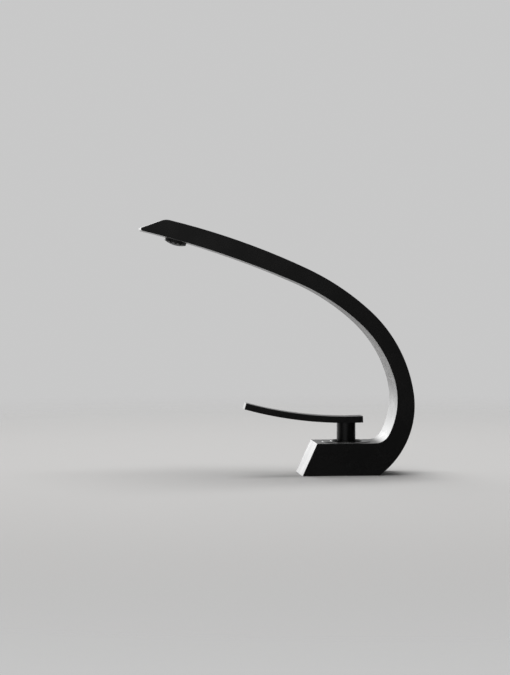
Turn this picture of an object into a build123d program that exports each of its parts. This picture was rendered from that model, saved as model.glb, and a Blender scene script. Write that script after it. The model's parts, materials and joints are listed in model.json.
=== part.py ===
from build123d import *
from dataclasses import dataclass
from math import asin, cos, degrees, radians, sin, sqrt
import os

# Single-lever basin mixer with a flat-sided, C-shaped body.
# Millimetres, Z up. The origin lies on the deck, on the valve's axis, and the spout points along -Y.

# Body: base block and spout, drawn in the YZ plane
BODY_WIDTH = 48.0
BASE_HEIGHT = 28.9
BASE_FRONT_FOOT = 42.35
BASE_FRONT_TOP = 29.15
BASE_REAR_FOOT = 26.9
BACK_START_HEADING = 35.8
LOWER_BACK_RADIUS = 76.6
LOWER_BACK_SWEEP = 62.5
UPPER_BACK_RADIUS = 124.7
UPPER_BACK_SWEEP = 39.6
SHOULDER_RADIUS = 227.0
SHOULDER_SWEEP = 17.1
INNER_SHOULDER_RADIUS = 199.0
INNER_SHOULDER_SWEEP = 18.7
SPOUT_TOP_RADIUS = 654.0
SPOUT_UNDERSIDE_RADIUS = 862.0
SPOUT_RUN = 147.6
BAND_THICKNESS = 14.4
HEEL_RADIUS = 67.7
HEEL_JOIN = 8.3
HEEL_FILLET = 14.0
TIP_SLOPE = 19.6
TIP_RADIUS = 12.0
NOSE_THICKNESS = 2.3
NOSE_RADIUS = 1.2
EDGE_RADIUS = 0.2

# Waterway inside the body
BAND_WALL = 3.5
SIDE_WALL = 4.5
DUCT_WIDTH = 22.0
DUCT_HEIGHT = 4.0
DUCT_WALL = 4.0

# Clearances, all radial or per side
THREAD_CLEARANCE = 0.06
RUNNING_CLEARANCE = 0.05
SEAL_CLEARANCE = 0.02
FILM_GAP = 0.02
SLIDE_CLEARANCE = 0.2
MOTION_CLEARANCE = 0.3

# Bezel on the base's top
BEZEL_MARGIN = 1.1
BEZEL_FLANGE = 0.5
BEZEL_BEVEL = 0.3
COLLAR_RISE = 0.8
COLLAR_FOOT_WALL = 1.7
COLLAR_TOP_WALL = 1.3
BEZEL_OPENING_RADIUS = 12.6
SKIRT_WALL = 2.9
SKIRT_DEPTH = 5.0
BEZEL_GROOVE_DEPTH = 1.4
BEZEL_GROOVE_WIDTH = 1.8
BEZEL_GROOVE_DROP = 1.7

# Cartridge well and nut
NUT_THREAD_RADIUS = 17.0
NUT_WELL_DEPTH = 14.5
NUT_HEIGHT = 5.5
NUT_OPENING_RADIUS = 13.0
NUT_SLOT_COUNT = 4
NUT_SLOT_WIDTH = 3.0
NUT_SLOT_DEPTH = 2.0
WELL_RADIUS = 13.6

# Lever motion
LIFT_LIMIT = 18.0
PIVOT_DROP = 9.0
BALL_ARM = 11.0

# Cartridge
FLANGE_THICKNESS = 2.5
FLANGE_RADIUS = 16.0
HOUSING_RADIUS = 11.5
HOUSING_BORE = 10.0
HOUSING_COLLAR_RADIUS = 12.6
HOUSING_NECK_LENGTH = 3.0
HOUSING_NECK_CLEARANCE = 0.1
HOUSING_GROOVE_DEPTH = 1.5
HOUSING_GROOVE_WIDTH = 1.8
HOUSING_GROOVE_DROP = 0.5
LIP_THICKNESS = 0.8
LIP_RADIUS = 8.6
ROTOR_CROWN = 2.3
ROTOR_SLOT_LENGTH = 15.6
PIN_RADIUS = 1.25
PIN_LENGTH = 17.2
EYE_RADIUS = 3.6
EYE_WIDTH = 8.0
ARM_RADIUS = 1.9
BALL_RADIUS = 2.8
BALL_POCKET_CLEARANCE = 0.1
BALL_POCKET_FLOOR = 0.4
BALL_POCKET_RIM = 2.5
CARRIER_LENGTH = 8.0
CARRIER_PLATE = 1.6
DISC_DROP = 8.5
DISC_THICKNESS = 3.0
FIXED_DISC_CLEARANCE = 0.1
MOVING_DISC_RADIUS = 8.0
MIXING_POCKET_RADIUS = 4.2
MIXING_POCKET_DEPTH = 1.5
MIXING_POCKET_OFFSET = 3.6
INLET_X = 4.4
INLET_Y = -2.4
INLET_RADIUS = 1.6
OUTLET_Y = 4.2
OUTLET_RADIUS = 2.2
OUTLET_DEPTH = 4.0
SPIGOT_HEIGHT = 1.0
CARTRIDGE_BASE_HEIGHT = 6.5
PORT_SEAL_RADIUS = 3.0
PORT_SEAL_HEIGHT = 1.5

# Lever
NECK_RADIUS = 8.5
NECK_FOOT_DEPTH = 2.0
NECK_RISE = 17.3
LEVER_THICKNESS = 5.8
LEVER_WIDTH = 17.0
LEVER_UNDERSIDE_RADIUS = 345.0
LEVER_REACH = 92.0
LEVER_TAIL = 14.3
LEVER_EDGE_RADIUS = 0.2
TENON_RADIUS = 4.5
TENON_HEIGHT = 2.8
SPINDLE_SIDE = 7.0
SPINDLE_INSERTION = 15.0
SOCKET_CLEARANCE = 0.05
SOCKET_END_GAP = 0.3
GRUB_RADIUS = 2.5
GRUB_LENGTH = 4.0
GRUB_RISE = 5.5
HEX_KEY_RADIUS = 1.4
HEX_KEY_DEPTH = 2.0

# Shank and hose inlets
SHANK_RADIUS = 16.0
SHANK_LENGTH = 50.0
SHANK_ENGAGEMENT = 5.0
SHANK_CHAMFER = 1.0
SHANK_WELL_RADIUS = 13.2
SHANK_SEAL_THICKNESS = 1.0
SHANK_SEAL_MARGIN = 0.2
HOSE_PORT_X = 6.8
HOSE_PORT_RADIUS = 4.6
HOSE_PORT_DEPTH = 12.0
DRILLING_RADIUS = 2.0

# Deck clamp
DECK_THICKNESS = 20.0
GASKET_OUTER = 21.5
GASKET_INNER = 19.0
GASKET_DEPTH = 1.5
CLAMP_RADIUS = 24.0
CLAMP_HOLE_CLEARANCE = 0.6
CLAMP_GASKET_THICKNESS = 3.0
CLAMP_WASHER_THICKNESS = 2.0
LOCK_NUT_FLATS = 41.0
LOCK_NUT_HEIGHT = 8.0
LOCK_NUT_CHAMFER = 1.0

# Aerator
SPOUT_REACH = 153.5
AERATOR_RADIUS = 9.8
AERATOR_CLEARANCE = 0.1
AERATOR_RIM_DROP = 2.6
AERATOR_DOME_RISE = 2.2
AERATOR_OUTLET_RADIUS = 6.2
AERATOR_LEDGE_RISE = 0.8
AERATOR_CUP_RADIUS = 7.6
AERATOR_SEAT_RISE = 5.4
AERATOR_GASKET_THICKNESS = 1.2
AERATOR_THROAT_RADIUS = 6.6
AERATOR_THROAT_LENGTH = 2.0
AERATOR_BOSS_WALL = 3.0
AERATOR_NOTCH_COUNT = 12
AERATOR_NOTCH_WIDTH = 1.8
AERATOR_NOTCH_LENGTH = 2.4
STREAM_HOLE_RADIUS = 0.85
STREAM_RINGS = ((0.0, 1), (2.3, 6), (4.6, 12))
CHANNEL_OVERRUN = 8.0

# Heights worked out from the sizes above
FLANGE_SEAT_Z = BASE_HEIGHT - NUT_WELL_DEPTH
FLANGE_TOP_Z = FLANGE_SEAT_Z + FLANGE_THICKNESS
SOCKET_CEILING_Z = SHANK_ENGAGEMENT + SHANK_SEAL_THICKNESS
PIVOT_Z = BASE_HEIGHT - PIVOT_DROP
BALL_Z = PIVOT_Z - BALL_ARM
DISC_PLANE_Z = BALL_Z - DISC_DROP
HOUSING_BOTTOM_Z = DISC_PLANE_Z - DISC_THICKNESS - SPIGOT_HEIGHT
WELL_FLOOR_Z = HOUSING_BOTTOM_Z - CARTRIDGE_BASE_HEIGHT
MOVING_DISC_Z = DISC_PLANE_Z + FILM_GAP
CARRIER_PLATE_Z = MOVING_DISC_Z + DISC_THICKNESS
CARRIER_BLOCK_Z = CARRIER_PLATE_Z + CARRIER_PLATE
ROTOR_BOTTOM_Z = CARRIER_BLOCK_Z + MOTION_CLEARANCE
ROTOR_TOP_Z = PIVOT_Z + ROTOR_CROWN
NECK_FOOT_Z = BASE_HEIGHT - NECK_FOOT_DEPTH
LEVER_UNDERSIDE_Z = BASE_HEIGHT + NECK_RISE
LEVER_CENTRE_Z = LEVER_UNDERSIDE_Z + LEVER_UNDERSIDE_RADIUS
SPINDLE_TOP_Z = NECK_FOOT_Z + SPINDLE_INSERTION
GRUB_Z = NECK_FOOT_Z + GRUB_RISE
DUCT_TOP_Z = FLANGE_SEAT_Z - HOUSING_NECK_LENGTH
DUCT_BOTTOM_Z = DUCT_TOP_Z - DUCT_HEIGHT

# The moving disc rests half its travel behind the axis and opens to the same distance ahead of it.
DISC_TRAVEL = BALL_ARM * sin(radians(LIFT_LIMIT))
DISC_REST_Y = DISC_TRAVEL / 2

BOTTOM = (Align.CENTER, Align.CENTER, Align.MIN)
INLET_SIDES = (-1, 1)


def polar(angle):
    """Unit vector in the drawing plane."""
    return Vector(cos(radians(angle)), sin(radians(angle)))


@dataclass
class Stretch:
    """One arc of the C: its centre, radius, start angle and sweep, turning left."""

    centre: Vector
    radius: float
    start: float
    sweep: float

    def edge(self, inset=0.0):
        """The arc, drawn closer to its centre by the inset."""
        return CenterArc(self.centre, self.radius - inset, self.start, self.sweep)

    def start_point(self, inset=0.0):
        return self.centre + polar(self.start) * (self.radius - inset)

    def end_point(self, inset=0.0):
        return self.centre + polar(self.end()) * (self.radius - inset)

    def end(self):
        return self.start + self.sweep


def stretch_from(point, angle, radius, sweep):
    """An arc that starts at a point whose outward normal has the given angle."""
    return Stretch(point - polar(angle) * radius, radius, angle, sweep)


# The arcs of the C, from the deck at the rear up to the spout's tip
LOWER = stretch_from(
    Vector(BASE_REAR_FOOT, 0), BACK_START_HEADING - 90, LOWER_BACK_RADIUS, LOWER_BACK_SWEEP
)
UPPER = stretch_from(LOWER.end_point(), LOWER.end(), UPPER_BACK_RADIUS, UPPER_BACK_SWEEP)
SHOULDER = stretch_from(UPPER.end_point(), UPPER.end(), SHOULDER_RADIUS, SHOULDER_SWEEP)

# The inner face keeps an even distance from the upper back. Its heel arc leaves that face a little
# above the start of the upper back and runs down to the base's top.
INNER_BACK_RADIUS = UPPER.radius - BAND_THICKNESS
HEEL_TOP = UPPER.start + HEEL_JOIN
HEEL_CENTRE = UPPER.centre + polar(HEEL_TOP) * (INNER_BACK_RADIUS - HEEL_RADIUS)
HEEL_START = degrees(asin((BASE_HEIGHT - HEEL_CENTRE.Y) / HEEL_RADIUS))
HEEL = Stretch(HEEL_CENTRE, HEEL_RADIUS, HEEL_START, HEEL_TOP - HEEL_START)

# The fillet between the heel and the base's top leaves the top flat as far as here, behind the axis.
FILLET_RISE = BASE_HEIGHT + HEEL_FILLET - HEEL_CENTRE.Y
FLAT_TOP_END = HEEL_CENTRE.X + sqrt((HEEL_RADIUS - HEEL_FILLET) ** 2 - FILLET_RISE**2)

INNER_BACK = Stretch(UPPER.centre, INNER_BACK_RADIUS, HEEL_TOP, UPPER.end() - HEEL_TOP)
INNER_SHOULDER = stretch_from(
    INNER_BACK.end_point(), INNER_BACK.end(), INNER_SHOULDER_RADIUS, INNER_SHOULDER_SWEEP
)

# The spout's two long arcs run a little past the nose, and the tip is cut afterwards.
LONG_RUN = SPOUT_RUN + 2 * BAND_THICKNESS
SPOUT_TOP = stretch_from(
    SHOULDER.end_point(), SHOULDER.end(), SPOUT_TOP_RADIUS, degrees(LONG_RUN / SPOUT_TOP_RADIUS)
)
UNDERSIDE = stretch_from(
    INNER_SHOULDER.end_point(), INNER_SHOULDER.end(), SPOUT_UNDERSIDE_RADIUS,
    degrees(LONG_RUN / SPOUT_UNDERSIDE_RADIUS),
)
NOSE = UNDERSIDE.centre + polar(UNDERSIDE.start + degrees(SPOUT_RUN / UNDERSIDE.radius)) * UNDERSIDE.radius

OUTER_ARCS = (LOWER, UPPER, SHOULDER, SPOUT_TOP)
INNER_ARCS = (HEEL, INNER_BACK, INNER_SHOULDER, UNDERSIDE)


def underside_height(y):
    """Height of the spout's underside at a place along the spout."""
    return UNDERSIDE.centre.Y + sqrt(UNDERSIDE.radius**2 - (y - UNDERSIDE.centre.X) ** 2)


# The aerator stands square to the underside. Its own heights are counted from there, along its axis.
AERATOR_Y = -SPOUT_REACH
AERATOR_TILT = degrees(asin((AERATOR_Y - UNDERSIDE.centre.X) / UNDERSIDE.radius))
AERATOR_PLACE = Pos(0, AERATOR_Y, underside_height(AERATOR_Y)) * Rot(-AERATOR_TILT, 0, 0)
AERATOR_RIM = -AERATOR_RIM_DROP
AERATOR_LOW = AERATOR_RIM - AERATOR_DOME_RISE
AERATOR_LEDGE = AERATOR_RIM + AERATOR_LEDGE_RISE
AERATOR_TOP = AERATOR_SEAT_RISE - AERATOR_GASKET_THICKNESS
AERATOR_THROAT_TOP = AERATOR_SEAT_RISE + AERATOR_THROAT_LENGTH
AERATOR_DOME_RADIUS = (AERATOR_RADIUS**2 + AERATOR_DOME_RISE**2) / (2 * AERATOR_DOME_RISE)


def post(radius, low, high, x=0.0, y=0.0):
    """Upright cylinder between two heights."""
    return Pos(x, y, low) * Cylinder(radius, high - low, align=BOTTOM)


def ring(outer, inner, low, high, x=0.0, y=0.0):
    """Upright tube between two heights."""
    return post(outer, low, high, x, y) - post(inner, low, high, x, y)


def block(width, depth, low, high, y=0.0):
    """Upright box centred on the YZ plane."""
    return Pos(0, y, low) * Box(width, depth, high - low, align=BOTTOM)


def cross_rod(radius, length, z):
    """Cylinder along X through the valve's axis."""
    return Pos(0, 0, z) * Rot(0, 90, 0) * Cylinder(radius, length)


def rear_rod(radius, near, far, z):
    """Cylinder along +Y between two distances behind the valve's axis."""
    return Pos(0, near, z) * Rot(-90, 0, 0) * Cylinder(radius, far - near, align=BOTTOM)


def polygon(*corners):
    return make_face(Polyline(*corners, close=True).edges())


def turned(*corners):
    """Solid turned about the valve's axis from (radius, height) corners."""
    return revolve(Plane.XZ * polygon(*corners), Axis.Z)


def o_ring(bore, groove_depth, z):
    """Ring seal that fills a groove of the given depth inside a bore."""
    section = groove_depth / 2 - SEAL_CLEARANCE
    return Pos(0, 0, z) * Torus(bore - groove_depth / 2, section)


def tip_cutter():
    """Everything ahead of the nose and above the slanted tip."""
    reach = 4 * BAND_THICKNESS
    nose_top = NOSE + Vector(0, NOSE_THICKNESS)
    slope_end = nose_top + polar(TIP_SLOPE) * reach
    front = NOSE.X - reach
    below = NOSE.Y - reach
    return polygon(nose_top, slope_end, (front, slope_end.Y), (front, below), (NOSE.X, below))


def body_outline():
    """Side view of the base block and the spout."""
    base = Polyline(
        HEEL.start_point(), (-BASE_FRONT_TOP, BASE_HEIGHT), (-BASE_FRONT_FOOT, 0), (BASE_REAR_FOOT, 0)
    )
    back = [arc.edge() for arc in OUTER_ARCS]
    front = [arc.edge() for arc in INNER_ARCS]
    tip = Line(SPOUT_TOP.end_point(), UNDERSIDE.end_point())
    return make_face([*base.edges(), *back, tip, *front]) - tip_cutter()


def waterway_outline():
    """Side view of the channel in the band, from the well to the aerator."""
    back = [arc.edge(BAND_WALL) for arc in OUTER_ARCS]
    front = [arc.edge(-BAND_WALL) for arc in INNER_ARCS]
    tip = Line(SPOUT_TOP.end_point(BAND_WALL), UNDERSIDE.end_point(-BAND_WALL))
    step_y = NUT_THREAD_RADIUS + DUCT_WALL
    foot = Polyline(
        HEEL.start_point(-BAND_WALL), (step_y, HEEL.start_point(-BAND_WALL).Y), (step_y, 0),
        LOWER.start_point(BAND_WALL),
    )
    channel = make_face([*foot.edges(), *back, tip, *front])
    ahead = Pos(AERATOR_Y - CHANNEL_OVERRUN, 0) * Rectangle(
        SPOUT_RUN, 4 * SPOUT_RUN, align=(Align.MAX, Align.CENTER)
    )
    below = Pos(0, DUCT_BOTTOM_Z) * Rectangle(
        4 * SPOUT_RUN, SPOUT_RUN, align=(Align.CENTER, Align.MAX)
    )
    return channel - ahead - below


def side_extrude(outline, width):
    """Solid from a side view, centred on the YZ plane."""
    return extrude(Plane.YZ * outline, width / 2, both=True)


def waterway():
    """Hollow of the spout, with the boss for the aerator left standing in it."""
    channel = side_extrude(waterway_outline(), BODY_WIDTH - 2 * SIDE_WALL)
    boss_radius = AERATOR_RADIUS + AERATOR_CLEARANCE + AERATOR_BOSS_WALL
    boss = AERATOR_PLACE * post(boss_radius, AERATOR_RIM, AERATOR_THROAT_TOP)
    duct_end = NUT_THREAD_RADIUS + DUCT_WALL + DUCT_HEIGHT
    duct = Pos(0, duct_end / 2, 0) * block(DUCT_WIDTH, duct_end, DUCT_BOTTOM_Z, DUCT_TOP_Z)
    return channel - boss + duct


def cross_edge(solid, y, z):
    """The solid's edge along X that lies nearest to a point of the side view."""
    return solid.edges().filter_by(Axis.X).sort_by_distance((0, y, z))[0]


def rounded_blank():
    """Outside of the body with its heel fillet, rounded tip and softened edges."""
    blank = side_extrude(body_outline(), BODY_WIDTH)
    heel = HEEL.start_point()
    blank = fillet(cross_edge(blank, heel.X, heel.Y), HEEL_FILLET)
    blank = fillet(cross_edge(blank, NOSE.X, NOSE.Y), NOSE_RADIUS)
    tip_face_top = blank.edges().filter_by(Axis.X).sort_by(Axis.Z)[-1]
    blank = fillet(tip_face_top, TIP_RADIUS)
    softened = [
        cross_edge(blank, -BASE_FRONT_TOP, BASE_HEIGHT),
        cross_edge(blank, NOSE.X, NOSE.Y + NOSE_THICKNESS),
    ]
    outline_edges = blank.edges().filter_by(Plane.YZ)
    softened += [edge for edge in outline_edges if edge.center().Z > EDGE_RADIUS]
    return fillet(softened, EDGE_RADIUS)


def faucet_body():
    """Hollow casting: base block and spout, with the well for the cartridge and the aerator's bore."""
    body = rounded_blank() - waterway()
    body -= post(NUT_THREAD_RADIUS, FLANGE_SEAT_Z, BASE_HEIGHT + BEZEL_FLANGE)
    body -= post(WELL_RADIUS, 0, FLANGE_SEAT_Z)
    body -= post(SHANK_RADIUS + THREAD_CLEARANCE, 0, SOCKET_CEILING_Z)
    body -= ring(GASKET_OUTER, GASKET_INNER, 0, GASKET_DEPTH)
    bore_radius = AERATOR_RADIUS + AERATOR_CLEARANCE
    body -= AERATOR_PLACE * post(bore_radius, AERATOR_RIM, AERATOR_SEAT_RISE)
    return body - AERATOR_PLACE * post(AERATOR_THROAT_RADIUS, AERATOR_SEAT_RISE, AERATOR_THROAT_TOP)


def bezel_ring():
    """Thin trim ring with a conical collar, held by its skirt in the mouth of the well."""
    outer = min(BODY_WIDTH / 2, FLAT_TOP_END) - BEZEL_MARGIN
    skirt = NUT_THREAD_RADIUS - THREAD_CLEARANCE
    skirt_inner = skirt - SKIRT_WALL
    collar_foot = BEZEL_OPENING_RADIUS + COLLAR_FOOT_WALL
    collar_top = BEZEL_OPENING_RADIUS + COLLAR_TOP_WALL
    top = BASE_HEIGHT + BEZEL_FLANGE
    crown = top + COLLAR_RISE
    body = turned(
        (skirt_inner, BASE_HEIGHT - SKIRT_DEPTH), (skirt, BASE_HEIGHT - SKIRT_DEPTH), (skirt, BASE_HEIGHT),
        (outer, BASE_HEIGHT), (outer, top - BEZEL_BEVEL), (outer - BEZEL_BEVEL, top), (collar_foot, top),
        (collar_top, crown), (BEZEL_OPENING_RADIUS, crown),
        (BEZEL_OPENING_RADIUS, BASE_HEIGHT), (skirt_inner, BASE_HEIGHT),
    )
    groove_floor = NUT_THREAD_RADIUS - BEZEL_GROOVE_DEPTH
    groove_top = BASE_HEIGHT - BEZEL_GROOVE_DROP
    return body - ring(NUT_THREAD_RADIUS, groove_floor, groove_top - BEZEL_GROOVE_WIDTH, groove_top)


def bezel_o_ring():
    middle = BASE_HEIGHT - BEZEL_GROOVE_DROP - BEZEL_GROOVE_WIDTH / 2
    return o_ring(NUT_THREAD_RADIUS, BEZEL_GROOVE_DEPTH, middle)


def cartridge_nut():
    """Ring nut that clamps the cartridge's flange, with slots for a pin spanner."""
    outer = NUT_THREAD_RADIUS - THREAD_CLEARANCE
    top = FLANGE_TOP_Z + NUT_HEIGHT
    nut = ring(outer, NUT_OPENING_RADIUS, FLANGE_TOP_Z, top)
    slot = block(NUT_SLOT_WIDTH, outer, top - NUT_SLOT_DEPTH, top, y=outer)
    for spot in PolarLocations(0, NUT_SLOT_COUNT):
        nut -= spot * slot
    return nut


def cartridge_housing():
    """Plastic sleeve of the cartridge: barrel, sealing neck, flange and retaining lip."""
    top = ROTOR_TOP_Z + LIP_THICKNESS
    neck = WELL_RADIUS - HOUSING_NECK_CLEARANCE
    housing = post(HOUSING_RADIUS, HOUSING_BOTTOM_Z, FLANGE_SEAT_Z)
    housing += post(neck, DUCT_TOP_Z, FLANGE_SEAT_Z)
    housing += post(FLANGE_RADIUS, FLANGE_SEAT_Z, FLANGE_TOP_Z)
    housing += post(HOUSING_COLLAR_RADIUS, FLANGE_TOP_Z, top)
    housing -= post(HOUSING_BORE, HOUSING_BOTTOM_Z, ROTOR_TOP_Z + FILM_GAP)
    housing -= post(LIP_RADIUS, ROTOR_TOP_Z, top)
    groove_top = FLANGE_SEAT_Z - HOUSING_GROOVE_DROP
    groove_floor = WELL_RADIUS - HOUSING_GROOVE_DEPTH
    return housing - ring(WELL_RADIUS, groove_floor, groove_top - HOUSING_GROOVE_WIDTH, groove_top)


def housing_o_ring():
    middle = FLANGE_SEAT_Z - HOUSING_GROOVE_DROP - HOUSING_GROOVE_WIDTH / 2
    return o_ring(WELL_RADIUS, HOUSING_GROOVE_DEPTH, middle)


def rotor():
    """Carousel that turns in the housing, slotted for the spindle and drilled for its pin."""
    body = post(HOUSING_BORE - RUNNING_CLEARANCE, ROTOR_BOTTOM_Z, ROTOR_TOP_Z)
    body -= block(EYE_WIDTH + 2 * SLIDE_CLEARANCE, ROTOR_SLOT_LENGTH, ROTOR_BOTTOM_Z, ROTOR_TOP_Z)
    return body - cross_rod(PIN_RADIUS + FILM_GAP, 2 * HOUSING_BORE, PIVOT_Z)


def pivot_pin():
    return cross_rod(PIN_RADIUS, PIN_LENGTH, PIVOT_Z)


def spindle():
    """Square spindle with a pivot eye and a ball end below it."""
    shaft = block(SPINDLE_SIDE, SPINDLE_SIDE, PIVOT_Z, SPINDLE_TOP_Z)
    shaft += cross_rod(EYE_RADIUS, EYE_WIDTH, PIVOT_Z)
    shaft += post(ARM_RADIUS, BALL_Z, PIVOT_Z)
    shaft += Pos(0, 0, BALL_Z) * Sphere(BALL_RADIUS)
    return shaft - cross_rod(PIN_RADIUS + RUNNING_CLEARANCE, 2 * EYE_WIDTH, PIVOT_Z)


def disc_carrier():
    """Slider in the rotor's slot that holds the spindle's ball and carries the moving disc."""
    rim = BALL_Z + BALL_POCKET_RIM
    carrier = post(MOVING_DISC_RADIUS, CARRIER_PLATE_Z, CARRIER_BLOCK_Z, y=DISC_REST_Y)
    carrier += block(EYE_WIDTH, CARRIER_LENGTH, CARRIER_PLATE_Z, rim)
    floor = BALL_Z - BALL_RADIUS - BALL_POCKET_FLOOR
    return carrier - post(BALL_RADIUS + BALL_POCKET_CLEARANCE, floor, rim)


def moving_disc():
    """Ceramic disc with a mixing pocket in its underside."""
    disc = post(MOVING_DISC_RADIUS, MOVING_DISC_Z, CARRIER_PLATE_Z, y=DISC_REST_Y)
    pocket_top = MOVING_DISC_Z + MIXING_POCKET_DEPTH
    return disc - post(MIXING_POCKET_RADIUS, MOVING_DISC_Z, pocket_top, y=MIXING_POCKET_OFFSET)


def inlet_posts(radius, low, high):
    """A pair of upright cylinders at the hot and cold inlets."""
    return [post(radius, low, high, x=side * INLET_X, y=INLET_Y) for side in INLET_SIDES]


def fixed_disc():
    """Ceramic disc with two inlets and one outlet."""
    low = DISC_PLANE_Z - DISC_THICKNESS
    disc = post(HOUSING_BORE - FIXED_DISC_CLEARANCE, low, DISC_PLANE_Z)
    disc -= post(OUTLET_RADIUS, low, DISC_PLANE_Z, y=OUTLET_Y)
    return disc - inlet_posts(INLET_RADIUS, low, DISC_PLANE_Z)


def cartridge_base():
    """Foot of the cartridge: inlets through it, and an outlet that leaves at its rear."""
    top = HOUSING_BOTTOM_Z + SPIGOT_HEIGHT
    foot = post(HOUSING_RADIUS, WELL_FLOOR_Z, HOUSING_BOTTOM_Z)
    foot += post(HOUSING_BORE - FIXED_DISC_CLEARANCE, HOUSING_BOTTOM_Z, top)
    foot -= inlet_posts(INLET_RADIUS, WELL_FLOOR_Z, top)
    foot -= inlet_posts(PORT_SEAL_RADIUS, WELL_FLOOR_Z, WELL_FLOOR_Z + PORT_SEAL_HEIGHT)
    outlet_floor = HOUSING_BOTTOM_Z - OUTLET_DEPTH
    foot -= post(OUTLET_RADIUS, outlet_floor, top, y=OUTLET_Y)
    exit_slot = block(
        2 * OUTLET_RADIUS, HOUSING_RADIUS, outlet_floor, HOUSING_BOTTOM_Z, y=OUTLET_Y + HOUSING_RADIUS / 2
    )
    return foot - exit_slot


def port_seals():
    """Two rubber rings between the cartridge's inlets and the floor of the well."""
    top = WELL_FLOOR_Z + PORT_SEAL_HEIGHT
    outer = PORT_SEAL_RADIUS - SEAL_CLEARANCE
    return [ring(outer, DRILLING_RADIUS, WELL_FLOOR_Z, top, side * INLET_X, INLET_Y) for side in INLET_SIDES]


def shank():
    """Threaded barrel under the base: lower part of the well, and two hose ports from below."""
    barrel = post(SHANK_RADIUS, -SHANK_LENGTH, SHANK_ENGAGEMENT)
    barrel = chamfer(barrel.edges().sort_by(Axis.Z)[0], SHANK_CHAMFER)
    barrel -= post(SHANK_WELL_RADIUS, WELL_FLOOR_Z, SHANK_ENGAGEMENT)
    port_top = HOSE_PORT_DEPTH - SHANK_LENGTH
    barrel -= inlet_posts(DRILLING_RADIUS, port_top, WELL_FLOOR_Z)
    for side in INLET_SIDES:
        barrel -= post(HOSE_PORT_RADIUS, -SHANK_LENGTH, port_top, x=side * HOSE_PORT_X, y=INLET_Y)
    return barrel


def shank_seal():
    outer = SHANK_RADIUS - SHANK_SEAL_MARGIN
    return ring(outer, WELL_RADIUS + SHANK_SEAL_MARGIN, SHANK_ENGAGEMENT, SOCKET_CEILING_Z)


def deck_gasket():
    """Flat seal in the groove under the base, level with the deck."""
    return ring(GASKET_OUTER - SEAL_CLEARANCE, GASKET_INNER + SEAL_CLEARANCE, 0, GASKET_DEPTH)


def clamp_gasket():
    low = -DECK_THICKNESS - CLAMP_GASKET_THICKNESS
    return ring(CLAMP_RADIUS, SHANK_RADIUS + CLAMP_HOLE_CLEARANCE, low, -DECK_THICKNESS)


def clamp_washer():
    top = -DECK_THICKNESS - CLAMP_GASKET_THICKNESS
    return ring(CLAMP_RADIUS, SHANK_RADIUS + CLAMP_HOLE_CLEARANCE, top - CLAMP_WASHER_THICKNESS, top)


def lock_nut():
    """Hexagon nut that runs along the shank."""
    top = -DECK_THICKNESS - CLAMP_GASKET_THICKNESS - CLAMP_WASHER_THICKNESS
    low = top - LOCK_NUT_HEIGHT
    hexagon = RegularPolygon(LOCK_NUT_FLATS / 2, 6, major_radius=False)
    nut = extrude(Pos(0, 0, low) * hexagon, LOCK_NUT_HEIGHT)
    corner = LOCK_NUT_FLATS / sqrt(3)
    nut &= turned(
        (0, low), (corner - LOCK_NUT_CHAMFER, low), (corner, low + LOCK_NUT_CHAMFER),
        (corner, top - LOCK_NUT_CHAMFER), (corner - LOCK_NUT_CHAMFER, top), (0, top),
    )
    return nut - post(SHANK_RADIUS + THREAD_CLEARANCE, low, top)


def under_lever():
    """The large cylinder whose lowest line is the lever's underside."""
    return Pos(0, 0, LEVER_CENTRE_Z) * Rot(0, 90, 0) * Cylinder(LEVER_UNDERSIDE_RADIUS, BODY_WIDTH)


def lever_blade():
    """Slim curved lever, bored from below for the neck's tenon."""
    centre = (0, LEVER_CENTRE_Z)
    middle = LEVER_UNDERSIDE_RADIUS - LEVER_THICKNESS / 2
    start = -90 - degrees(asin(LEVER_REACH / middle))
    sweep = degrees(asin(LEVER_REACH / middle)) + degrees(asin(LEVER_TAIL / middle))
    underside = CenterArc(centre, LEVER_UNDERSIDE_RADIUS, start, sweep)
    top = CenterArc(centre, LEVER_UNDERSIDE_RADIUS - LEVER_THICKNESS, start, sweep)
    ends = [Line(underside @ 0, top @ 0), Line(underside @ 1, top @ 1)]
    blade = side_extrude(make_face([underside, top, *ends]), LEVER_WIDTH)
    blade = fillet(blade.edges(), LEVER_EDGE_RADIUS)
    bore_top = LEVER_UNDERSIDE_Z + TENON_HEIGHT + SOCKET_CLEARANCE
    return blade - post(TENON_RADIUS + SOCKET_CLEARANCE, LEVER_UNDERSIDE_Z - TENON_HEIGHT, bore_top)


def lever_neck():
    """Round neck with a tenon on top, a square socket for the spindle and a grub screw hole."""
    neck = post(NECK_RADIUS, NECK_FOOT_Z, LEVER_UNDERSIDE_Z + LEVER_THICKNESS) - under_lever()
    neck += post(TENON_RADIUS, SPINDLE_TOP_Z, LEVER_UNDERSIDE_Z + TENON_HEIGHT)
    side = SPINDLE_SIDE + 2 * SOCKET_CLEARANCE
    neck -= block(side, side, NECK_FOOT_Z, SPINDLE_TOP_Z + SOCKET_END_GAP)
    return neck - rear_rod(GRUB_RADIUS + THREAD_CLEARANCE, 0, 2 * NECK_RADIUS, GRUB_Z)


def grub_screw():
    """Headless screw that bears on the spindle, with a hexagon socket."""
    near = SPINDLE_SIDE / 2
    far = near + GRUB_LENGTH
    screw = rear_rod(GRUB_RADIUS, near, far, GRUB_Z)
    key = RegularPolygon(HEX_KEY_RADIUS, 6)
    socket = Pos(0, far, GRUB_Z) * Rot(90, 0, 0) * extrude(key, HEX_KEY_DEPTH)
    return screw - socket


def screw_plug():
    """Plug over the grub screw, level with the neck's surface."""
    near = SPINDLE_SIDE / 2 + GRUB_LENGTH
    plug = rear_rod(GRUB_RADIUS, near, NECK_RADIUS, GRUB_Z)
    return plug & post(NECK_RADIUS, NECK_FOOT_Z, LEVER_UNDERSIDE_Z)


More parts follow.
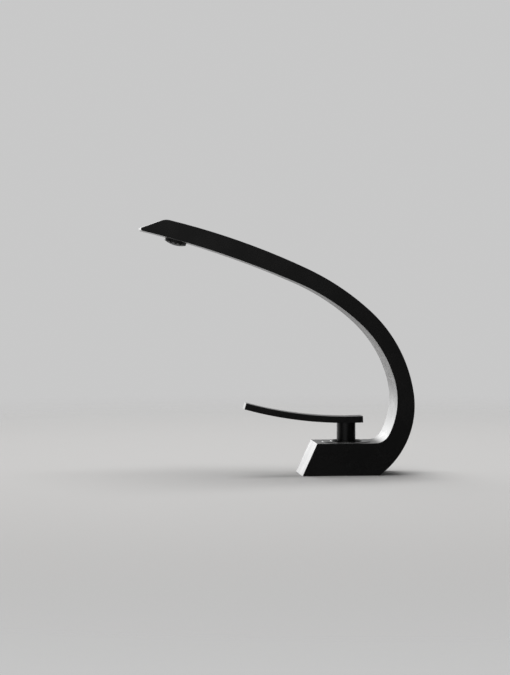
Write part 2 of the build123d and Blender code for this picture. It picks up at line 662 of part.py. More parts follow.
def aerator_dome():
    """The large ball whose lowest part is the aerator's rounded face."""
    return Pos(0, 0, AERATOR_LOW + AERATOR_DOME_RADIUS) * Sphere(AERATOR_DOME_RADIUS)


def aerator_housing():
    """Screw-in nozzle with a rounded face, notched for its key."""
    cup = turned(
        (AERATOR_OUTLET_RADIUS, AERATOR_LOW), (AERATOR_RADIUS, AERATOR_LOW), (AERATOR_RADIUS, AERATOR_TOP),
        (AERATOR_CUP_RADIUS, AERATOR_TOP), (AERATOR_CUP_RADIUS, AERATOR_LEDGE),
        (AERATOR_OUTLET_RADIUS, AERATOR_LEDGE),
    )
    cup &= aerator_dome()
    notch = block(AERATOR_NOTCH_WIDTH, 2 * AERATOR_NOTCH_LENGTH, AERATOR_LOW, AERATOR_RIM, y=AERATOR_RADIUS)
    for spot in PolarLocations(0, AERATOR_NOTCH_COUNT):
        cup -= spot * notch
    return AERATOR_PLACE * cup


def aerator_insert():
    """Flow straightener drilled with rings of stream holes, rounded to match the nozzle's face."""
    insert = post(AERATOR_CUP_RADIUS - AERATOR_CLEARANCE, AERATOR_LEDGE, AERATOR_TOP)
    insert += post(AERATOR_OUTLET_RADIUS - AERATOR_CLEARANCE, AERATOR_LOW, AERATOR_LEDGE)
    insert &= aerator_dome()
    for ring_radius, count in STREAM_RINGS:
        for spot in PolarLocations(ring_radius, count):
            insert -= spot * post(STREAM_HOLE_RADIUS, AERATOR_LOW, AERATOR_TOP)
    return AERATOR_PLACE * insert


def aerator_gasket():
    return AERATOR_PLACE * ring(AERATOR_RADIUS, AERATOR_THROAT_RADIUS, AERATOR_TOP, AERATOR_SEAT_RISE)


PIECES = (
    faucet_body, bezel_ring, bezel_o_ring, cartridge_nut, cartridge_housing, housing_o_ring, cartridge_base,
    port_seals, fixed_disc, moving_disc, disc_carrier, rotor, pivot_pin, spindle, lever_neck, lever_blade,
    grub_screw, screw_plug, shank, shank_seal, deck_gasket, clamp_gasket, clamp_washer, lock_nut,
    aerator_housing, aerator_insert, aerator_gasket,
)

os.makedirs("parts", exist_ok=True)
for piece in PIECES:
    shape = piece()
    solids = shape if isinstance(shape, list) else [shape]
    node = Compound(children=[solid for group in solids for solid in group.solids()])
    export_step(node, f"parts/{piece.__name__}.step")
    print(piece.__name__, len(node.solids()), round(node.volume, 1))
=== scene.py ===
# %% [markdown]
# A single-lever basin mixer in satin black: a flat-sided body that rises from its base into a long
# C-shaped spout, with a slim curved lever on a short round neck.
# The measured model arrives as a fixed frame, in metres, with the deck at height zero and the spout
# pointing along -Y. This lesson gives every piece its finish, cuts the thread of the shank that
# hangs below the deck, and sets up a small studio with the camera at the side of the tap.

# %% Load the measured model
import json
import math

import bmesh
import bpy
from mathutils import Matrix, Vector


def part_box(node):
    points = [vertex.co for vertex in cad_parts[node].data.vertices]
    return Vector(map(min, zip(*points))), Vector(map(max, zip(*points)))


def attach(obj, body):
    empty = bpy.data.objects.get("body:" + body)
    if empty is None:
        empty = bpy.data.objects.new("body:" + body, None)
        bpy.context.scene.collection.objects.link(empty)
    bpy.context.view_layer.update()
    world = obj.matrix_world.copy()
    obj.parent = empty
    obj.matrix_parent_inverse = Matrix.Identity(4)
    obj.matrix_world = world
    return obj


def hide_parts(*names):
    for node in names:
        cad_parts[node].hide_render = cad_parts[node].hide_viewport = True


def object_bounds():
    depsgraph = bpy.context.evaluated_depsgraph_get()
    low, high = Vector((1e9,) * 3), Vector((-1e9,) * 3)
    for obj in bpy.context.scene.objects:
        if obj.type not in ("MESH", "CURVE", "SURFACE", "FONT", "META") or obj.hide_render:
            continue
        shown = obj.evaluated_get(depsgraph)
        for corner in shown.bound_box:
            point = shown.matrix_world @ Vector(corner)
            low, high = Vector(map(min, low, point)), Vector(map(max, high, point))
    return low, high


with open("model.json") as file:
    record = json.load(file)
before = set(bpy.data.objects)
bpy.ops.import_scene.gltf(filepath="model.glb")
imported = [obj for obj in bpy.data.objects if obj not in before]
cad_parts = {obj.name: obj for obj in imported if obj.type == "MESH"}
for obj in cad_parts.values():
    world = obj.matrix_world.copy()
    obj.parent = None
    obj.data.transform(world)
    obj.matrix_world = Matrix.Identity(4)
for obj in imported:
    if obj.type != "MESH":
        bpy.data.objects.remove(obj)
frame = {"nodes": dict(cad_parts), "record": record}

CAD_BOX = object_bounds()
MM = 0.001
box_corners = [tuple(round(value, 4) for value in corner) for corner in CAD_BOX]
print("pieces:", len(frame["nodes"]), "box:", box_corners)

# %% [markdown]
# A finish is a small network of nodes: textures that vary over the surface, sums that scale them, and
# a shader at the end. Placing such nodes one by one takes many lines, so two helpers do it.
# Wire stands for one socket and takes part in ordinary Python sums, so `0.4 + 0.1 * grain` adds the
# two Math nodes by itself. Tree makes every other node through one method, `add`.


# %% Wires and trees
class Wire:
    """One output of a node, which can be used in sums like a number."""

    def __init__(self, tree, socket):
        self.tree = tree
        self.socket = socket

    def output(self, name):
        """Another output of the same node."""
        return Wire(self.tree, self.socket.node.outputs[name])

    def math(self, operation, *values):
        """The result of a new Math node."""
        sockets = dict(enumerate(values))
        return self.tree.add("Math", {"operation": operation}, sockets)

    def __add__(self, other):
        return self.math("ADD", self, other)

    def __radd__(self, other):
        return self.math("ADD", other, self)

    def __sub__(self, other):
        return self.math("SUBTRACT", self, other)

    def __rsub__(self, other):
        return self.math("SUBTRACT", other, self)

    def __mul__(self, other):
        return self.math("MULTIPLY", self, other)

    def __rmul__(self, other):
        return self.math("MULTIPLY", other, self)


class Tree:
    """The nodes of one material or of the world."""

    def __init__(self, owner):
        owner.use_nodes = True
        self.nodes = owner.node_tree.nodes
        self.links = owner.node_tree.links
        self.nodes.clear()

    def add(self, kind, settings=None, sockets=None, output=0):
        """Makes a node, sets it up, fills its sockets, and returns one of its outputs."""
        node = self.nodes.new("ShaderNode" + kind)
        for name, value in (settings or {}).items():
            setattr(node, name, value)
        for name, value in (sockets or {}).items():
            if isinstance(value, Wire):
                self.links.new(value.socket, node.inputs[name])
            else:
                node.inputs[name].default_value = value
        return Wire(self, node.outputs[output]) if node.outputs else None


# %% [markdown]
# A few textures come back in every finish. Noise is the main one: given its grain size in metres, it
# returns a value around one half that wanders over the surface. It reads the position on the piece, so
# a grain has its real size everywhere, and no piece needs a UV map.
# Ramp stretches part of that value to a mask from 0 to 1, and tint mixes two colours by a mask. A
# colour goes through a Mix node, because a Math node would turn it grey.


# %% Texture helpers
# A Mix node has sockets for every kind of value. These are the numbers of the ones for colours.
MIX_A, MIX_B, MIX_RESULT = 6, 7, 2


def place(tree):
    """Position on the piece, in metres."""
    return tree.add("TexCoord", output="Object")


def coordinate(tree, vector, axis):
    """The X, Y or Z of a position or a direction."""
    return tree.add("SeparateXYZ", None, {0: vector}).output(axis)


def noise(tree, where, grain, detail=2.0, rough=0.5):
    """Noise whose features are about one grain across."""
    sockets = {"Vector": where, "Scale": 1 / grain, "Detail": detail, "Roughness": rough}
    return tree.add("TexNoise", None, sockets)


def ramp(tree, value, low, high):
    """Soft step: 0 below low, 1 above high."""
    settings = {"interpolation_type": "SMOOTHSTEP"}
    return tree.add("MapRange", settings, {"Value": value, "From Min": low, "From Max": high})


def tint(tree, mask, dark, light):
    """Colour between two colours."""
    sockets = {0: mask, MIX_A: dark, MIX_B: light}
    return tree.add("Mix", {"data_type": "RGBA"}, sockets, MIX_RESULT)


def bump(tree, height, depth):
    """Surface normal of a relief whose full depth is given in metres."""
    return tree.add("Bump", None, {"Height": height, "Distance": depth})


# %% [markdown]
# The finish of a piece is a new material that ends in one Principled shader. What is the same all over
# a piece is written straight on the shader's sockets, and what varies is linked to them. Dress then
# puts the material in the slot of each piece that is made of it.


# %% Finish helpers
def grey(value, warmth=0.0):
    """A neutral colour, a little warmer or cooler."""
    return (value * (1 + warmth), value, value * (1 - warmth), 1.0)


def new_finish(name):
    """An empty material and its tree."""
    material = bpy.data.materials.new(name)
    return material, Tree(material)


def surface(tree, **sockets):
    """The shader and the material's output."""
    named = {name.replace("_", " "): value for name, value in sockets.items()}
    shader = tree.add("BsdfPrincipled", None, named)
    tree.add("OutputMaterial", None, {"Surface": shader})


def dress(finish, *nodes):
    """Gives pieces of the measured model their finish."""
    for node in nodes:
        frame["nodes"][node].material_slots[0].material = finish
    print(finish.name, "on", ", ".join(nodes))


# %% [markdown]
# The body, the lever, the neck and the bezel ring are brass castings under a sprayed and baked satin
# black coat. A plain black with one roughness would look like a hole in the picture, because real
# paint has a faint orange peel, a finer grain from the matting agent, and broad soft patches where
# hands have polished it. The paint is also thinner and a touch glossier on rounded edges.
# On the flat-sided pieces only the rounded edges have a normal between sideways and square to it, so
# the X part of the normal finds them. On turned pieces the Z part finds the bevels in the same way.
# A mask painted by hand could mark the edges too, but it would have to follow every change of shape.


# %% Satin black coat
COAT_BLACK = grey(0.0052)
COAT_WORN = grey(0.012, warmth=0.02)
COAT_EDGE = grey(0.016, warmth=0.02)
COAT_ROUGHNESS = 0.29
PEEL_DEPTH = 0.004 * MM
PEEL_GRAIN = 1.1 * MM
MATTING_GRAIN = 0.28 * MM
MATTING_SPREAD = 0.1
HANDLING_PATCH = 22 * MM
HANDLING_MASK = (0.42, 0.68)
HANDLING_SHINE = 0.05
EDGE_SHINE = 0.06
EDGE_SHARE = 0.7


def satin_black(name, edge_axis):
    finish, tree = new_finish(name)
    where = place(tree)
    peel = noise(tree, where, PEEL_GRAIN, detail=1.0)
    matting = noise(tree, where, MATTING_GRAIN)
    handling = ramp(tree, noise(tree, where, HANDLING_PATCH, detail=4.0), *HANDLING_MASK)
    across = coordinate(tree, tree.add("TexCoord", output="Normal"), edge_axis)
    square = across * across
    edge = 4 * square * (1 - square)
    worn = tint(tree, handling * (0.4 + 0.6 * matting), COAT_BLACK, COAT_WORN)
    rough = COAT_ROUGHNESS - HANDLING_SHINE * handling + MATTING_SPREAD * (matting - 0.5)
    surface(
        tree,
        Base_Color=tint(tree, EDGE_SHARE * edge, worn, COAT_EDGE),
        Roughness=rough - EDGE_SHINE * edge,
        Normal=bump(tree, 0.7 * peel + 0.3 * matting, PEEL_DEPTH),
    )
    return finish


dress(satin_black("satin_black_flat_sided", "X"), "faucet_body", "lever_blade")
dress(satin_black("satin_black_turned", "Z"), "bezel_ring", "lever_neck")

# %% [markdown]
# The nozzle under the spout's tip and the plug at the back of the neck are moulded in black acetal.
# Its mould was spark eroded, which leaves a fine even pitting, and the outlet collects a little lime.
# Pits this small need no geometry, so a fine noise tilts the normal through a Bump node. The lime is a
# coarser noise, and its mask starts at one half, so that it leaves most of the surface clean.


# %% Black moulded plastic
ACETAL_BLACK = grey(0.014)
ACETAL_LIMED = grey(0.06, warmth=0.02)
ACETAL_ROUGHNESS = 0.42
ACETAL_PIT = 0.22 * MM
ACETAL_PIT_DEPTH = 0.03 * MM
LIME_PATCH = 2.4 * MM
LIME_MASK = (0.5, 0.75)


def black_plastic():
    finish, tree = new_finish("black_acetal")
    where = place(tree)
    pits = noise(tree, where, ACETAL_PIT, detail=1.0)
    lime = ramp(tree, noise(tree, where, LIME_PATCH, detail=4.0), *LIME_MASK)
    surface(
        tree,
        Base_Color=tint(tree, 0.6 * lime + 0.25 * pits, ACETAL_BLACK, ACETAL_LIMED),
        Roughness=ACETAL_ROUGHNESS + 0.16 * lime + 0.08 * pits,
        Normal=bump(tree, pits, ACETAL_PIT_DEPTH),
    )
    return finish


dress(black_plastic(), "aerator_housing", "screw_plug")

# %% [markdown]
# The rotor of the cartridge is natural acetal: white, slightly warm and waxy, with faint flow lines
# from the mould. The lines are noise whose position is scaled up along the axis, which flattens its
# spots to thin layers. A Wave texture could draw lines as well, but too evenly for a moulding.


# %% White moulded plastic
ROTOR_CREAM = grey(0.58, warmth=0.04)
ROTOR_WHITE = grey(0.72, warmth=0.02)
ROTOR_ROUGHNESS = 0.34
ROTOR_GRAIN = 0.3 * MM
ROTOR_RELIEF = 0.01 * MM
FLOW_LINE = 5 * MM
FLOW_SCALE = (1.0, 1.0, 6.0)


def stretch(tree, where, factors):
    """The same position, scaled apart along X, Y and Z."""
    return tree.add("VectorMath", {"operation": "MULTIPLY"}, {0: where, 1: factors})


def white_plastic():
    finish, tree = new_finish("natural_acetal")
    where = place(tree)
    flow = noise(tree, stretch(tree, where, FLOW_SCALE), FLOW_LINE, detail=3.0)
    grain = noise(tree, where, ROTOR_GRAIN)
    surface(
        tree,
        Base_Color=tint(tree, flow, ROTOR_CREAM, ROTOR_WHITE),
        Roughness=ROTOR_ROUGHNESS + 0.12 * grain,
        Normal=bump(tree, grain, ROTOR_RELIEF),
    )
    return finish


dress(white_plastic(), "rotor")

# %% [markdown]
# The flow straightener in the nozzle, and the cartridge's housing, base and disc carrier, are grey
# plastic filled with glass fibre. The fibres line up with the flow in the mould and show as fine pale
# streaks. Here the position is scaled up across the axis, which draws the noise out along it.


# %% Grey filled plastic
FILLED_GREY = grey(0.13, warmth=-0.03)
FIBRE_GREY = grey(0.24, warmth=-0.02)
FILLED_ROUGHNESS = 0.46
FILLED_GRAIN = 0.25 * MM
FILLED_RELIEF = 0.02 * MM
FIBRE_STREAK = 2.2 * MM
FIBRE_SCALE = (5.0, 5.0, 1.0)
FIBRE_MASK = (0.4, 0.7)


def grey_plastic():
    finish, tree = new_finish("glass_filled_grey")
    where = place(tree)
    fibres = noise(tree, stretch(tree, where, FIBRE_SCALE), FIBRE_STREAK, detail=3.0, rough=0.7)
    grain = noise(tree, where, FILLED_GRAIN)
    surface(
        tree,
        Base_Color=tint(tree, ramp(tree, fibres, *FIBRE_MASK), FILLED_GREY, FIBRE_GREY),
        Roughness=FILLED_ROUGHNESS + 0.14 * fibres,
        Normal=bump(tree, 0.5 * fibres + 0.5 * grain, FILLED_RELIEF),
    )
    return finish


dress(grey_plastic(), "aerator_insert", "cartridge_housing", "cartridge_base", "disc_carrier")

# %% [markdown]
# The two discs that meter the water are sintered alumina, lapped so flat that they seal by
# themselves. The ceramic is off-white with a fine speckle, and the lapping leaves it glossy. A low
# roughness over hardly any relief shows the polish, and two sizes of noise keep the white from looking
# like paint.


# %% Lapped ceramic
ALUMINA_DULL = grey(0.66, warmth=0.03)
ALUMINA_WHITE = grey(0.84, warmth=0.02)
LAPPED_ROUGHNESS = 0.1
LAPPED_RELIEF = 0.002 * MM
ALUMINA_SPECKLE = 0.35 * MM
ALUMINA_CLOUD = 6 * MM


def lapped_ceramic():
    finish, tree = new_finish("lapped_alumina")
    where = place(tree)
    speckle = noise(tree, where, ALUMINA_SPECKLE, detail=3.0)
    cloud = noise(tree, where, ALUMINA_CLOUD)
    surface(
        tree,
        Base_Color=tint(tree, 0.5 * speckle + 0.5 * cloud, ALUMINA_DULL, ALUMINA_WHITE),
        Roughness=LAPPED_ROUGHNESS + 0.12 * speckle,
        Normal=bump(tree, speckle, LAPPED_RELIEF),
    )
    return finish


dress(lapped_ceramic(), "fixed_disc", "moving_disc")

# %% [markdown]
# Every seal and gasket is black EPDM rubber. New rubber carries a thin grey bloom of talc, thicker in
# some places than in others, over a dull and slightly pitted skin. One cloudy mask both lightens the
# colour and raises the roughness, as dust does. The frame's record says which pieces are rubber, so
# they needn't be listed here.


# %% Rubber
RUBBER_BLACK = grey(0.012)
RUBBER_BLOOM = grey(0.07)
RUBBER_ROUGHNESS = 0.66
RUBBER_PIT = 0.4 * MM
RUBBER_PIT_DEPTH = 0.04 * MM
TALC_PATCH = 5 * MM
TALC_MASK = (0.4, 0.75)


def bloomed_rubber():
    finish, tree = new_finish("bloomed_rubber")
    where = place(tree)
    talc = ramp(tree, noise(tree, where, TALC_PATCH, detail=5.0, rough=0.65), *TALC_MASK)
    pits = noise(tree, where, RUBBER_PIT, detail=3.0)
    surface(
        tree,
        Base_Color=tint(tree, talc * (0.3 + 0.7 * pits), RUBBER_BLACK, RUBBER_BLOOM),
        Roughness=RUBBER_ROUGHNESS + 0.2 * talc,
        Normal=bump(tree, pits, RUBBER_PIT_DEPTH),
    )
    return finish


SEALS = [part["node"] for part in frame["record"]["subparts"] if part["material_slot"] == "rubber"]
dress(bloomed_rubber(), *SEALS)

# %% [markdown]
# Brass and steel pieces are turned on a lathe. The tool leaves fine rings, which run round the axis on
# the outside and as circles on the end faces, so the ring pattern reads height plus distance from the
# axis. Noise in one dimension along that sum gives rings of uneven strength, as a worn tool does.
# Brass tarnishes to a dull brown in patches and steel to a dull grey, and both keep a few scratches
# from tumbling. So one function makes both metals.


# %% Turned metals
BRASS_BRIGHT = (0.76, 0.56, 0.25, 1)
BRASS_DULL = (0.36, 0.24, 0.11, 1)
STEEL_BRIGHT = grey(0.62, warmth=0.01)
STEEL_DULL = grey(0.38, warmth=0.03)
TOOL_FEED = 0.18 * MM
TOOL_RELIEF = 0.01 * MM
TARNISH_MASK = (0.45, 0.72)
SCRATCH = 3 * MM
SCRATCH_SCALE = (1.0, 9.0, 3.0)


def length(tree, vector):
    """Distance from the origin."""
    return tree.add("VectorMath", {"operation": "LENGTH"}, {0: vector}, "Value")


def tool_rings(tree, where):
    """Lathe rings about the valve's axis."""
    radius = length(tree, stretch(tree, where, (1.0, 1.0, 0.0)))
    along = coordinate(tree, where, "Z") + radius
    settings = {"noise_dimensions": "1D"}
    return tree.add("TexNoise", settings, {"W": along, "Scale": 1 / TOOL_FEED, "Detail": 2.0})


def turned_metal(name, bright, dull, roughness, patch):
    finish, tree = new_finish(name)
    where = place(tree)
    rings = tool_rings(tree, where)
    tarnish = ramp(tree, noise(tree, where, patch, detail=5.0, rough=0.6), *TARNISH_MASK)
    scratches = noise(tree, stretch(tree, where, SCRATCH_SCALE), SCRATCH, detail=4.0, rough=0.7)
    surface(
        tree,
        Base_Color=tint(tree, 0.75 * tarnish + 0.2 * rings, bright, dull),
        Metallic=1.0,
        Roughness=roughness + 0.16 * tarnish + 0.1 * (rings - 0.5) + 0.06 * (scratches - 0.5),
        Normal=bump(tree, 0.8 * rings + 0.2 * scratches, TOOL_RELIEF),
    )
    return finish


BRASS = turned_metal("turned_brass", BRASS_BRIGHT, BRASS_DULL, roughness=0.24, patch=9 * MM)
STEEL = turned_metal("turned_steel", STEEL_BRIGHT, STEEL_DULL, roughness=0.26, patch=7 * MM)
dress(BRASS, "cartridge_nut", "spindle", "shank", "lock_nut")
dress(STEEL, "pivot_pin", "grub_screw", "clamp_washer")

# %% [markdown]
# Below the deck hangs the shank, a brass barrel with a fine screw thread for the lock nut. The measured
# model has it as a plain barrel, because a thread says little about how the parts fit. A bump could
# draw the thread, but the outline would stay smooth, so here it is real.
# One pitch of its profile is drawn as five short edges and spun round the axis while it climbs, so that
# each turn ends where the next begins. Two cuts then square off the ends.

# %% Spin the thread
PITCH = 1.5 * MM
THREAD_DEPTH = 0.92 * MM
CREST_WIDTH = PITCH / 8
ROOT_WIDTH = PITCH / 4
STEPS_PER_TURN = 64
SPARE_TURNS = 2
SEAM_GAP = 0.001 * MM
CUT_TOLERANCE = 0.0001 * MM

shank_low, shank_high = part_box("shank")
SHANK_RADIUS = shank_high.x
SHANK_ROOT = SHANK_RADIUS - THREAD_DEPTH


def thread_profile(bm, low):
    """One pitch, from the middle of one root to the middle of the next."""
    flank = (PITCH - CREST_WIDTH - ROOT_WIDTH) / 2
    rise = ROOT_WIDTH / 2 + flank
    corners = (
        (SHANK_ROOT, 0.0), (SHANK_ROOT, ROOT_WIDTH / 2), (SHANK_RADIUS, rise),
        (SHANK_RADIUS, rise + CREST_WIDTH), (SHANK_ROOT, PITCH - ROOT_WIDTH / 2), (SHANK_ROOT, PITCH),
    )
    verts = [bm.verts.new((radius, 0.0, low + height)) for radius, height in corners]
    edges = [bm.edges.new(pair) for pair in zip(verts, verts[1:])]
    return verts + edges


def cut_flat(bm, height, up):
    """Removes what lies beyond a level plane."""
    geometry = bm.verts[:] + bm.edges[:] + bm.faces[:]
    bmesh.ops.bisect_plane(
        bm, geom=geometry, dist=CUT_TOLERANCE, plane_co=(0, 0, height), plane_no=(0, 0, up),
        clear_outer=True,
    )


shank_mesh = bmesh.new()
turns = math.ceil((shank_high.z - shank_low.z) / PITCH) + SPARE_TURNS
first_pitch = thread_profile(shank_mesh, shank_low.z - SPARE_TURNS * PITCH)
bmesh.ops.spin(
    shank_mesh, geom=first_pitch, cent=(0, 0, 0), axis=(0, 0, 1), dvec=(0, 0, PITCH / STEPS_PER_TURN),
    angle=turns * math.tau, steps=turns * STEPS_PER_TURN, use_merge=False,
)
bmesh.ops.remove_doubles(shank_mesh, verts=shank_mesh.verts, dist=SEAM_GAP)
cut_flat(shank_mesh, shank_low.z, -1)
cut_flat(shank_mesh, shank_high.z, 1)
print("thread:", turns, "turns,", len(shank_mesh.faces), "faces")

# %% [markdown]
# The barrel is hollow. Boolean cuts could hollow it, but they leave slivers where they meet so many
# small faces. Three short helpers do it instead: rim makes a ring of edges, tube extrudes that ring
# along the axis, and fill closes a flat face between its outline and the rings that open in it.


# %% Rims, tubes and fills
def rim(bm, radius, x, y, z, segments):
    """A ring of edges around an upright axis."""
    spot = Matrix.Translation((x, y, z))
    made = bmesh.ops.create_circle(bm, segments=segments, radius=radius, matrix=spot)
    return list({edge for vert in made["verts"] for edge in vert.link_edges})


def tube(bm, edges, travel):
    """Extrudes a ring along the axis and returns the ring at the far end."""
    made = bmesh.ops.extrude_edge_only(bm, edges=edges)["geom"]
    verts = [item for item in made if isinstance(item, bmesh.types.BMVert)]
    bmesh.ops.translate(bm, verts=verts, vec=(0, 0, travel))
    return [item for item in made if isinstance(item, bmesh.types.BMEdge) and item.is_boundary]


def fill(bm, *loops):
    """Flat face between an outline and the rings inside it."""
    edges = [edge for loop in loops for edge in loop]
    bmesh.ops.triangle_fill(bm, edges=edges, use_beauty=True)


# %% [markdown]
# From above, the cartridge stands in a round well. From below, two ports take the supply hoses, and a
# narrower drilling leads from each port to the floor of the well. The open edges that the two cuts left
# are the outlines of the barrel's end faces, which are filled last.

# %% Hollow the shank
WELL_RADIUS = 13.2 * MM
WELL_FLOOR = -10.1 * MM
PORT_RADIUS = 4.6 * MM
PORT_DEPTH = 12 * MM
PORT_X, PORT_Y = 6.8 * MM, -2.4 * MM
DRILLING_RADIUS = 2.0 * MM
DRILLING_X = 4.4 * MM
PORT_STEPS = 48
PORT_TOP = shank_low.z + PORT_DEPTH

outline = [edge for edge in shank_mesh.edges if edge.is_boundary]
bottom_outline = [edge for edge in outline if edge.verts[0].co.z < PORT_TOP]
top_outline = [edge for edge in outline if edge.verts[0].co.z > WELL_FLOOR]
well_mouth = rim(shank_mesh, WELL_RADIUS, 0, 0, shank_high.z, STEPS_PER_TURN)
well_floor = tube(shank_mesh, well_mouth, WELL_FLOOR - shank_high.z)
port_mouths = []
drilling_mouths = []
for side in (-1, 1):
    port_mouth = rim(shank_mesh, PORT_RADIUS, side * PORT_X, PORT_Y, shank_low.z, PORT_STEPS)
    drilling_mouth = rim(shank_mesh, DRILLING_RADIUS, side * DRILLING_X, PORT_Y, WELL_FLOOR, PORT_STEPS)
    port_end = tube(shank_mesh, port_mouth, PORT_DEPTH)
    drilling_end = tube(shank_mesh, drilling_mouth, PORT_TOP - WELL_FLOOR)
    fill(shank_mesh, port_end, drilling_end)
    port_mouths.append(port_mouth)
    drilling_mouths.append(drilling_mouth)
fill(shank_mesh, top_outline, well_mouth)
fill(shank_mesh, well_floor, *drilling_mouths)
fill(shank_mesh, bottom_outline, *port_mouths)
print("open edges left in the shank:", sum(not edge.is_manifold for edge in shank_mesh.edges))

# %% [markdown]
# A bevelled lead at the lower end lets the nut start. A bevel of the end's edge would follow the winding
# outline of the thread, so the lead is a cone instead: every point of the thread that stands outside
# the cone is drawn in to it. Then the normals are made to point outwards, and sharp edges, such as those
# of each crest and root, stay crisp while the round faces are shaded smoothly.

# %% Finish the shank
LEAD_BEVEL = 1.0 * MM
SHARP_ANGLE = math.radians(25)


def bevel_lead(bm):
    """Draws the lower end of the thread in to a cone."""
    for vert in bm.verts:
        radius = math.hypot(vert.co.x, vert.co.y)
        limit = SHANK_RADIUS - LEAD_BEVEL + (vert.co.z - shank_low.z)
        if radius > limit:
            vert.co.xy *= limit / radius


def object_from(name, bm, finish):
    """Turns a bmesh into an object with one finish."""
    mesh = bpy.data.meshes.new(name)
    bm.to_mesh(mesh)
    bm.free()
    mesh.materials.append(finish)
    made = bpy.data.objects.new(name, mesh)
    bpy.context.scene.collection.objects.link(made)
    return made


def finished_piece(name, bm, finish, body):
    """Turns a closed bmesh into a shaded object that rides on a body."""
    bmesh.ops.recalc_face_normals(bm, faces=bm.faces)
    for face in bm.faces:
        face.smooth = True
    for edge in bm.edges:
        edge.smooth = edge.is_manifold and edge.calc_face_angle() < SHARP_ANGLE
    piece = object_from(name, bm, finish)
    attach(piece, body)
    print(name, len(piece.data.polygons), "faces, on", body)
    return piece


bevel_lead(shank_mesh)
threaded_shank = finished_piece("threaded_shank", shank_mesh, BRASS, "faucet")
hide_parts("shank")

# %% [markdown]
# The studio is a pale floor at deck level that fades into an even pale backdrop. A curved backdrop could
# be modelled, but it would stand in the way of other views. So the floor is a plane whose shader turns
# transparent with distance, and there is no horizon line. To the camera it stays whole a little further
# out, where it hides the fittings under the deck. Seen from below it is transparent, which leaves those
# fittings in view. In reflections its front half is painted dark, a painted shade that stands in for a
# dim room on the camera's side, so that the near side of the tap stays black.

# %% Floor
FLOOR_HALF = 3.0
FLOOR_NEAR, FLOOR_FAR = 0.3, 1.2
FLOOR_SEEN_FURTHER = 0.15
FLOOR_PALE = grey(0.6, warmth=0.01)
FLOOR_GRAIN = grey(0.57, warmth=0.01)
# Painted shade: the dark grey that reflections see on the floor's front half.
FLOOR_AHEAD_PAINTED_SHADE = grey(0.035)
FLOOR_AHEAD_STEP = (-0.1, 0.1)
FLOOR_SPECKLE = 2 * MM
FLOOR_ROUGHNESS = 0.9


def blend(tree, share, first, second):
    """Two shaders mixed: only the first at 0, only the second at 1."""
    return tree.add("MixShader", None, {0: share, 1: first, 2: second})


def floor_finish():
    finish, tree = new_finish("pale_floor")
    where = place(tree)
    plain = tint(tree, noise(tree, where, FLOOR_SPECKLE, detail=3.0), FLOOR_GRAIN, FLOOR_PALE)
    ahead = ramp(tree, coordinate(tree, where, "X"), *FLOOR_AHEAD_STEP)
    mirrored = tree.add("LightPath", output="Is Glossy Ray")
    # Painted shade: only reflection rays see the front half of the floor in this dark grey.
    colour = tint(tree, ahead * mirrored, plain, FLOOR_AHEAD_PAINTED_SHADE)
    shader = tree.add("BsdfPrincipled", None, {
        "Base Color": colour, "Roughness": FLOOR_ROUGHNESS, "Specular IOR Level": 0.0,
    })
    camera_ray = tree.add("LightPath", output="Is Camera Ray")
    fade_start = FLOOR_NEAR + FLOOR_SEEN_FURTHER * camera_ray
    far = ramp(tree, length(tree, where), fade_start, FLOOR_FAR)
    below = tree.add("NewGeometry", output="Backfacing")
    gone = tree.add("Math", {"operation": "MAXIMUM"}, {0: far, 1: below})
    seen = blend(tree, gone, shader, tree.add("BsdfTransparent"))
    tree.add("OutputMaterial", None, {"Surface": seen})
    return finish


floor_mesh = bmesh.new()
bmesh.ops.create_grid(floor_mesh, x_segments=1, y_segments=1, size=FLOOR_HALF)
floor = object_from("floor", floor_mesh, floor_finish())
print("floor:", 2 * FLOOR_HALF, "m square")

# %% [markdown]
# A black object is shown by what it reflects. The faces that lie edge-on to the camera mirror the room
# behind the tap, so a wide window glows there to the left. It is brightest above the horizon, fades
# slowly below it, and ends towards the right. The room on the camera's side is kept dim, so that the
# broad side of the tap stays deep black, and is only a little lighter towards the spout's end.
# Lamps could stand in each of these places. Soft steps over the direction of a ray do the same in the
# world itself, with edges as soft as they need to be. The camera always sees the pale backdrop instead.

# %% World
ROOM_BEHIND = grey(0.45)
ROOM_DARK = grey(0.01)
ROOM_LIT = grey(0.5)
WINDOW_WHITE = grey(1.0)
WINDOW_STRENGTH = 3.9
BACKDROP_PALE = grey(0.58)
# A ray's direction has parts from -1 to 1. Each soft step goes from 0 to 1 between these two values.
AHEAD_STEP = (-0.7, 0.3)
FACING_STEP = (0.5, 0.9)
SPOUT_SIDE_STEP = (-0.25, 0.15)
BEHIND_STEP = (0.6, 0.95)
LOW_GLOW_RISE = (-0.42, -0.1)
LOW_GLOW_SIDE = (-0.12, 0.26)
HIGH_GLOW_RISE = (-0.02, 0.12)
HIGH_GLOW_SIDE = (-0.12, 0.1)


def light_from(tree, colour, strength=1.0):
    """Even light from a part of the world."""
    return tree.add("Background", None, {"Color": colour, "Strength": strength})


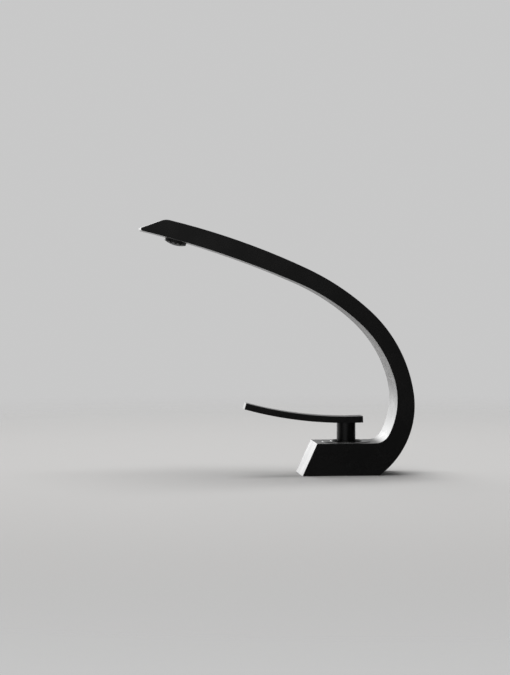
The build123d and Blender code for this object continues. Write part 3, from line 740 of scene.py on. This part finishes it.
def light_world():
    world = bpy.data.worlds.new("studio")
    bpy.context.scene.world = world
    tree = Tree(world)
    direction = tree.add("TexCoord", output="Generated")
    forward = coordinate(tree, direction, "X")
    leftward = -1 * coordinate(tree, direction, "Y")
    upward = coordinate(tree, direction, "Z")
    lit_share = ramp(tree, forward, *FACING_STEP) * ramp(tree, leftward, *SPOUT_SIDE_STEP)
    front = blend(tree, lit_share, light_from(tree, ROOM_DARK), light_from(tree, ROOM_LIT))
    room = blend(tree, ramp(tree, forward, *AHEAD_STEP), light_from(tree, ROOM_BEHIND), front)
    low_glow = ramp(tree, upward, *LOW_GLOW_RISE) * ramp(tree, leftward, *LOW_GLOW_SIDE)
    high_glow = ramp(tree, upward, *HIGH_GLOW_RISE) * ramp(tree, leftward, *HIGH_GLOW_SIDE)
    glow = ramp(tree, -1 * forward, *BEHIND_STEP) * (0.5 * low_glow + 0.5 * high_glow)
    lit_room = blend(tree, glow, room, light_from(tree, WINDOW_WHITE, WINDOW_STRENGTH))
    camera_ray = tree.add("LightPath", output="Is Camera Ray")
    seen = blend(tree, camera_ray, lit_room, light_from(tree, BACKDROP_PALE))
    tree.add("OutputWorld", None, {"Surface": seen})
    print("world:", world.name, "with a window of strength", WINDOW_STRENGTH)


light_world()

# %% [markdown]
# One wide softbox overhead lights the floor and the upper faces, and leaves a soft shadow under the tap.
# Small lamps would draw hard glints on a satin coat, so it is a single large area lamp. A lamp's power
# is spread over its area, so the panel is given a brightness, from which its power follows.

# %% Overhead panel
PANEL_PLACE = Vector((-0.2, -0.1, 1.9))
PANEL_TARGET = Vector((0, 0, 0))
PANEL_SIDE = 1.6
PANEL_RADIANCE = 4.0

lamp = bpy.data.lights.new("overhead_panel", "AREA")
lamp.shape = "SQUARE"
lamp.size = PANEL_SIDE
lamp.energy = PANEL_RADIANCE * math.pi * PANEL_SIDE ** 2
panel = bpy.data.objects.new("overhead_panel", lamp)
panel.location = PANEL_PLACE
panel.rotation_mode = "QUATERNION"
panel.rotation_quaternion = (PANEL_TARGET - PANEL_PLACE).to_track_quat("-Z", "Y")
panel.visible_camera = False
bpy.context.scene.collection.objects.link(panel)
print("overhead panel:", round(lamp.energy, 1), "W")

# %% [markdown]
# The camera stands about two metres to the side, a little lower than the top of the spout and just ahead
# of its tip. It looks almost straight across the tap with a long lens, so both flat sides line up
# closely. A shorter lens from nearby would spread the two sides apart.

# %% Camera
CAMERA_PLACE = (2.0532, -0.2836, 0.198)
CAMERA_YAW = math.radians(5.593)
CAMERA_DIP = math.radians(2.081)
IMAGE_LONG_SIDE = 675
FOCAL_PIXELS = 2300
SENSOR_WIDTH = 36.0

sight = Vector((
    -math.cos(CAMERA_DIP) * math.cos(CAMERA_YAW),
    math.cos(CAMERA_DIP) * math.sin(CAMERA_YAW),
    -math.sin(CAMERA_DIP),
))
lens = bpy.data.cameras.new("side_camera")
lens.sensor_width = SENSOR_WIDTH
lens.lens = FOCAL_PIXELS * SENSOR_WIDTH / IMAGE_LONG_SIDE
camera = bpy.data.objects.new("side_camera", lens)
camera.location = CAMERA_PLACE
camera.rotation_mode = "QUATERNION"
camera.rotation_quaternion = sight.to_track_quat("-Z", "Y")
bpy.context.scene.collection.objects.link(camera)
bpy.context.scene.camera = camera
bpy.context.scene.view_settings.view_transform = "Standard"
print("lens:", round(lens.lens, 1), "mm")
